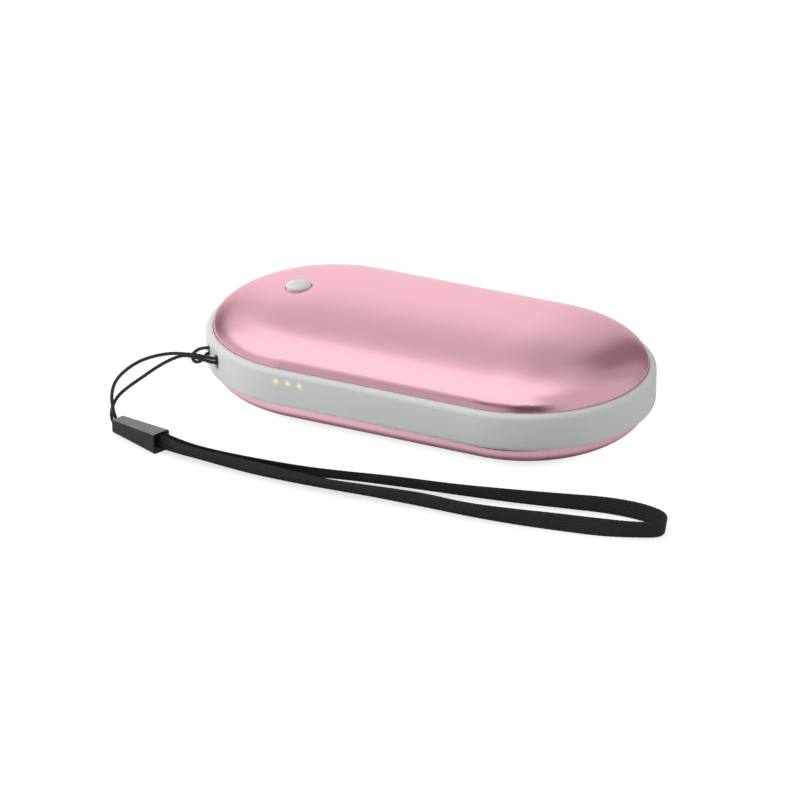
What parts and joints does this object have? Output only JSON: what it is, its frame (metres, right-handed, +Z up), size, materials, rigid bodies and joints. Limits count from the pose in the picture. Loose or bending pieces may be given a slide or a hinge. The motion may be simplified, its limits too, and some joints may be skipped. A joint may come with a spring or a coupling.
{
  "type": "rechargeable hand warmer",
  "caption": "Oval rechargeable hand warmer with domed metal shells on a plastic side band, a push button, charge lights and a wrist lanyard.",
  "frame": {"origin": "middle of the flat rest face under the bottom shell, on the surface the warmer lies on", "axes": "+X along the length towards the end without the button, +Y towards the charging port side, +Z up"},
  "size_m": [0.1321, 0.0753, 0.0267],
  "materials": {
    "shell": "satin anodised",
    "band": "satin",
    "button": "satin",
    "tray": "matte",
    "board": "satin",
    "chip": "matte",
    "cell": "foil",
    "tape": "matte",
    "foam": "matte",
    "screw": "plain",
    "steel": "bright",
    "film": "satin amber film",
    "light": "translucent",
    "red_lead": "satin",
    "black_lead": "satin",
    "clip": "satin",
    "webbing": "woven"
  },
  "bodies": {
    "warmer": {"top_shell": "shell", "bottom_shell": "shell", "side_band": "band", "top_gasket": "tape", "bottom_gasket": "tape", "battery_tape": "tape", "battery_cell_lower": "cell", "cell_tape": "tape", "battery_cell_upper": "cell", "insulation_pad": "foam", "protection_board": "board", "inner_tray": "tray", "tray_screws": "screw", "board_screws": "screw", "main_board": "board", "controller_chip": "chip", "charger_chip": "chip", "power_coil": "chip", "capacitors": "tape", "switch_base": "chip", "switch_cover": "steel", "switch_dome": "steel", "indicator_light_1": "light", "light_pipe_1": "light", "indicator_light_2": "light", "light_pipe_2": "light", "indicator_light_3": "light", "light_pipe_3": "light", "charge_port_shell": "steel", "charge_port_tongue": "chip", "top_heater": "film", "bottom_heater": "film", "top_heater_leads": "black_lead", "bottom_heater_leads": "black_lead", "battery_lead_positive": "red_lead", "battery_lead_negative": "black_lead", "heat_sensor": "black_lead", "lanyard_clip": "clip", "lanyard_string": "webbing", "wrist_strap": "webbing"},
    "button": {"power_button": "button"},
    "stem": {"switch_stem": "chip"}
  },
  "joints": [
    {"name": "button_press", "type": "slide", "parent": "warmer", "child": "button", "axis": [0, 0, -1], "range_m": [0, 0.0003], "stiffness_N_per_m": 2000, "springref_m": -0.0004},
    {"name": "switch_stem_press", "type": "slide", "parent": "warmer", "child": "stem", "axis": [0, 0, -1], "range_m": [0, 0.0003], "deforming": ["switch_dome"]}
  ],
  "couplings": [
    {"joint": "switch_stem_press", "follows": "button_press", "ratio": 1}
  ]
}
